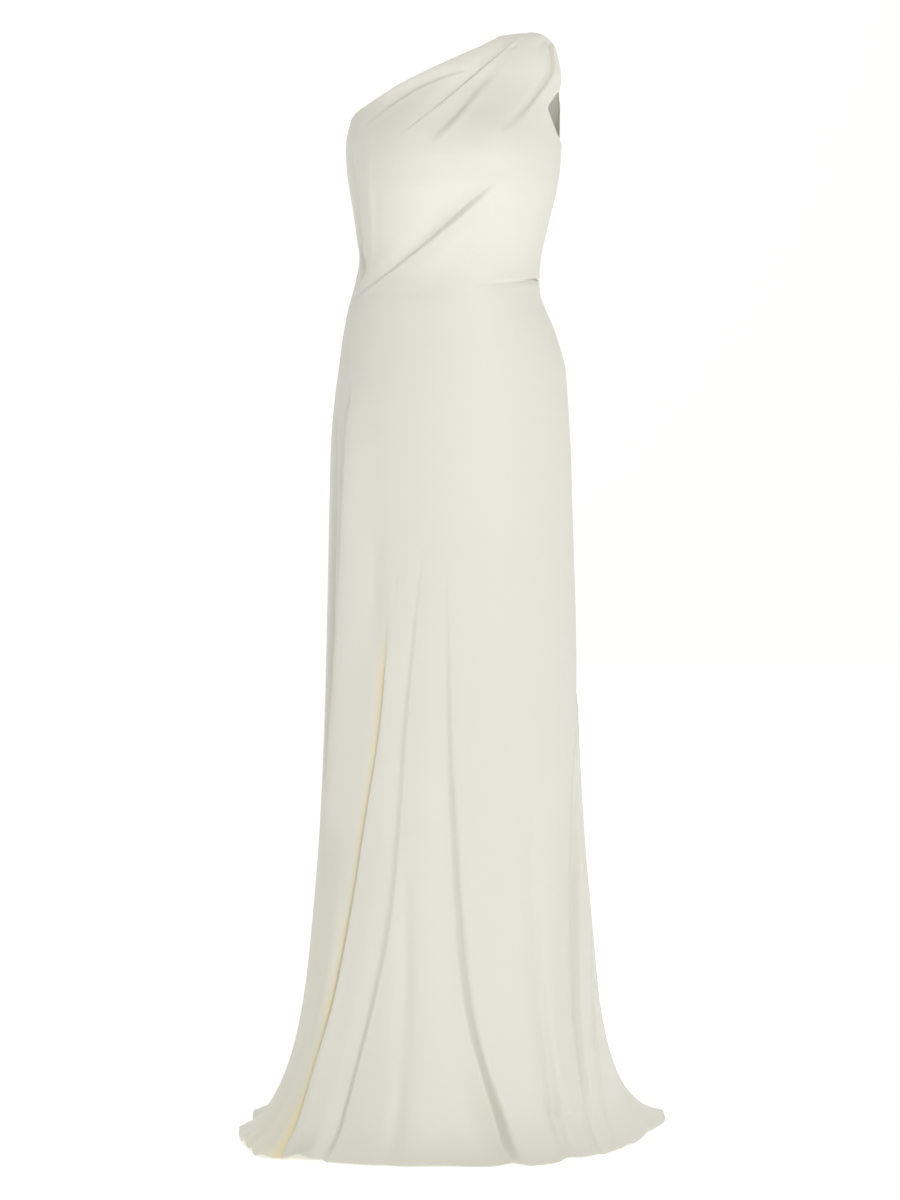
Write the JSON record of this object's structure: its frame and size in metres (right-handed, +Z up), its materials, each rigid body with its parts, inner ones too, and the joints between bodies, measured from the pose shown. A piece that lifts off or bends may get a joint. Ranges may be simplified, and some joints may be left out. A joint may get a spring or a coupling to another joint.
{
  "type": "draped one-shoulder gown",
  "caption": "Floor-length one-shoulder satin gown with a draped bodice, a bias skirt that opens at the side and a short train, hollow and filled out as worn.",
  "frame": {"origin": "under the shoulder seam, at the middle of the strap, where the shoulder holds the gown", "axes": "+Z up, -Y towards the gown's front, +X towards the strap side, which is the wearer's left"},
  "size_m": [0.6209, 0.6256, 1.549],
  "materials": {
    "satin": "pearl ivory satin with a soft sheen"
  },
  "bodies": {
    "root": {"bodice_front": "satin", "bodice_back": "satin", "skirt_front": "satin", "skirt_side_front": "satin", "skirt_back": "satin"}
  },
  "joints": []
}
